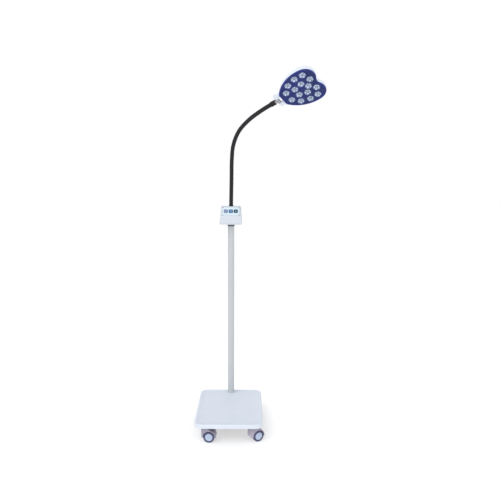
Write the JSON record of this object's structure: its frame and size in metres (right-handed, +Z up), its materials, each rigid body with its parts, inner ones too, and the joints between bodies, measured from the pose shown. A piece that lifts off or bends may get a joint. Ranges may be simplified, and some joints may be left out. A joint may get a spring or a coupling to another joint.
{
  "type": "examination lamp",
  "caption": "Mobile examination lamp: base plate on castors, pole, control box with push buttons, gooseneck and tilting heart-shaped LED head.",
  "frame": {"origin": "on the floor under the middle of the base plate", "axes": "+Z up along the pole; -Y towards the front, where the control panel faces; +X to the right"},
  "size_m": [0.5711, 0.395, 1.608],
  "materials": {
    "base_cover": "satin moulded plastic, pale blue-grey",
    "ballast": "painted dark grey",
    "fastener": "zinc-plated",
    "pole": "satin grey powder coat",
    "pole_collar": "matte dark grey",
    "castor_steel": "zinc-plated",
    "castor_housing": "satin grey-mauve",
    "castor_tyre": "matte slate",
    "castor_hub": "satin pale lavender",
    "box": "satin white, fine texture",
    "panel": "satin pale blue-white film",
    "power_button": "satin blue",
    "plus_button": "satin teal",
    "minus_button": "satin grey-lavender",
    "circuit_board": "green solder mask",
    "gland": "matte black nylon",
    "gooseneck": "satin black ribbed hose",
    "hinge": "satin cast, clear coated",
    "head_shell": "gloss white",
    "led_face": "gloss navy blue",
    "lens": "clear collimator",
    "led_board": "white solder mask",
    "heat_sink": "satin extruded"
  },
  "bodies": {
    "base": {"base_cover": "base_cover", "ballast_plate": "ballast", "base_screws": "fastener", "pole_plug": "fastener", "pole_bolt": "fastener", "pole_tube": "pole", "pole_collar": "pole_collar", "box_body": "box", "box_lid": "panel", "panel_overlay": "panel", "lid_screws": "fastener", "control_board": "circuit_board", "cable_gland": "gland", "neck_socket": "gooseneck", "castor_front_left_stem": "castor_steel", "castor_front_right_stem": "castor_steel", "castor_rear_right_stem": "castor_steel", "castor_rear_left_stem": "castor_steel"},
    "castor_front_left": {"castor_front_left_housing": "castor_housing", "castor_front_left_axle": "castor_steel"},
    "castor_front_left_wheel_a": {"castor_front_left_tyre_a": "castor_tyre", "castor_front_left_hub_a": "castor_hub"},
    "castor_front_left_wheel_b": {"castor_front_left_tyre_b": "castor_tyre", "castor_front_left_hub_b": "castor_hub"},
    "castor_front_right": {"castor_front_right_housing": "castor_housing", "castor_front_right_axle": "castor_steel"},
    "castor_front_right_wheel_a": {"castor_front_right_tyre_a": "castor_tyre", "castor_front_right_hub_a": "castor_hub"},
    "castor_front_right_wheel_b": {"castor_front_right_tyre_b": "castor_tyre", "castor_front_right_hub_b": "castor_hub"},
    "castor_rear_right": {"castor_rear_right_housing": "castor_housing", "castor_rear_right_axle": "castor_steel"},
    "castor_rear_right_wheel_a": {"castor_rear_right_tyre_a": "castor_tyre", "castor_rear_right_hub_a": "castor_hub"},
    "castor_rear_right_wheel_b": {"castor_rear_right_tyre_b": "castor_tyre", "castor_rear_right_hub_b": "castor_hub"},
    "castor_rear_left": {"castor_rear_left_housing": "castor_housing", "castor_rear_left_axle": "castor_steel"},
    "castor_rear_left_wheel_a": {"castor_rear_left_tyre_a": "castor_tyre", "castor_rear_left_hub_a": "castor_hub"},
    "castor_rear_left_wheel_b": {"castor_rear_left_tyre_b": "castor_tyre", "castor_rear_left_hub_b": "castor_hub"},
    "neck_1": {"neck_link_1": "gooseneck"},
    "neck_2": {"neck_link_2": "gooseneck"},
    "neck_3": {"neck_link_3": "gooseneck"},
    "neck_4": {"neck_link_4": "gooseneck"},
    "neck_5": {"neck_link_5": "gooseneck"},
    "neck_6": {"neck_link_6": "gooseneck"},
    "neck_7": {"neck_link_7": "gooseneck"},
    "yoke": {"swivel_yoke": "hinge"},
    "head": {"hinge_pin": "fastener", "head_shell": "head_shell", "led_face": "led_face", "led_lenses": "lens", "led_board": "led_board", "heat_sink": "heat_sink", "head_screws": "fastener"},
    "power_key": {"power_button": "power_button"},
    "plus_key": {"plus_button": "plus_button"},
    "minus_key": {"minus_button": "minus_button"}
  },
  "joints": [
    {"name": "castor_front_left_swivel", "type": "hinge", "parent": "base", "child": "castor_front_left", "pos_m": [-0.105, -0.145, 0], "axis": [0, 0, 1], "continuous": true},
    {"name": "castor_front_left_roll_a", "type": "hinge", "parent": "castor_front_left", "child": "castor_front_left_wheel_a", "pos_m": [-0.08508, -0.14674, 0.025], "axis": [0.0872, 0.9962, 0], "continuous": true},
    {"name": "castor_front_left_roll_b", "type": "hinge", "parent": "castor_front_left", "child": "castor_front_left_wheel_b", "pos_m": [-0.08508, -0.14674, 0.025], "axis": [0.0872, 0.9962, 0], "continuous": true},
    {"name": "castor_front_right_swivel", "type": "hinge", "parent": "base", "child": "castor_front_right", "pos_m": [0.105, -0.145, 0], "axis": [0, 0, 1], "continuous": true},
    {"name": "castor_front_right_roll_a", "type": "hinge", "parent": "castor_front_right", "child": "castor_front_right_wheel_a", "pos_m": [0.12266, -0.13561, 0.025], "axis": [-0.4695, 0.8829, 0], "continuous": true},
    {"name": "castor_front_right_roll_b", "type": "hinge", "parent": "castor_front_right", "child": "castor_front_right_wheel_b", "pos_m": [0.12266, -0.13561, 0.025], "axis": [-0.4695, 0.8829, 0], "continuous": true},
    {"name": "castor_rear_right_swivel", "type": "hinge", "parent": "base", "child": "castor_rear_right", "pos_m": [0.105, 0.145, 0], "axis": [0, 0, 1], "continuous": true},
    {"name": "castor_rear_right_roll_a", "type": "hinge", "parent": "castor_rear_right", "child": "castor_rear_right_wheel_a", "pos_m": [0.08768, 0.155, 0.025], "axis": [-0.5, -0.866, 0], "continuous": true},
    {"name": "castor_rear_right_roll_b", "type": "hinge", "parent": "castor_rear_right", "child": "castor_rear_right_wheel_b", "pos_m": [0.08768, 0.155, 0.025], "axis": [-0.5, -0.866, 0], "continuous": true},
    {"name": "castor_rear_left_swivel", "type": "hinge", "parent": "base", "child": "castor_rear_left", "pos_m": [-0.105, 0.145, 0], "axis": [0, 0, 1], "continuous": true},
    {"name": "castor_rear_left_roll_a", "type": "hinge", "parent": "castor_rear_left", "child": "castor_rear_left_wheel_a", "pos_m": [-0.12313, 0.13655, 0.025], "axis": [0.4226, -0.9063, 0], "continuous": true},
    {"name": "castor_rear_left_roll_b", "type": "hinge", "parent": "castor_rear_left", "child": "castor_rear_left_wheel_b", "pos_m": [-0.12313, 0.13655, 0.025], "axis": [0.4226, -0.9063, 0], "continuous": true},
    {"name": "neck_bend_1", "type": "hinge", "parent": "base", "child": "neck_1", "pos_m": [0.00106, 0.15939, 1.09099], "axis": [0.5, 0.866, 0], "range_deg": [-25, 25]},
    {"name": "neck_bend_2", "type": "hinge", "parent": "neck_1", "child": "neck_2", "pos_m": [0.00212, 0.15878, 1.16098], "axis": [0.8659, -0.4999, -0.0175], "range_deg": [-25, 25]},
    {"name": "neck_bend_3", "type": "hinge", "parent": "neck_2", "child": "neck_3", "pos_m": [0.00317, 0.15817, 1.23097], "axis": [0.5, 0.866, 0], "range_deg": [-25, 25]},
    {"name": "neck_bend_4", "type": "hinge", "parent": "neck_3", "child": "neck_4", "pos_m": [0.01054, 0.15391, 1.30023], "axis": [0.8438, -0.4872, -0.225], "range_deg": [-25, 25]},
    {"name": "neck_bend_5", "type": "hinge", "parent": "neck_4", "child": "neck_5", "pos_m": [0.03673, 0.13879, 1.36224], "axis": [0.5, 0.866, 0], "range_deg": [-25, 25]},
    {"name": "neck_bend_6", "type": "hinge", "parent": "neck_5", "child": "neck_6", "pos_m": [0.08115, 0.11315, 1.40924], "axis": [0.4843, -0.2796, -0.829], "range_deg": [-25, 25]},
    {"name": "neck_bend_7", "type": "hinge", "parent": "neck_6", "child": "neck_7", "pos_m": [0.13307, 0.08317, 1.44527], "axis": [0.5, 0.866, 0], "range_deg": [-25, 25]},
    {"name": "head_swivel", "type": "hinge", "parent": "neck_7", "child": "yoke", "pos_m": [0.18776, 0.0516, 1.47538], "axis": [0.7972, -0.4603, 0.3907], "range_deg": [-90, 90]},
    {"name": "head_tilt", "type": "hinge", "parent": "yoke", "child": "head", "pos_m": [0.21008, 0.03871, 1.48633], "axis": [0.6036, 0.6199, -0.5013], "range_deg": [-60, 60]},
    {"name": "power_press", "type": "slide", "parent": "base", "child": "power_key", "axis": [0, 0.7071, -0.7071], "range_m": [0, 0.001], "stiffness_N_per_m": 600},
    {"name": "plus_press", "type": "slide", "parent": "base", "child": "plus_key", "axis": [0, 0.7071, -0.7071], "range_m": [0, 0.001], "stiffness_N_per_m": 600},
    {"name": "minus_press", "type": "slide", "parent": "base", "child": "minus_key", "axis": [0, 0.7071, -0.7071], "range_m": [0, 0.001], "stiffness_N_per_m": 600}
  ]
}
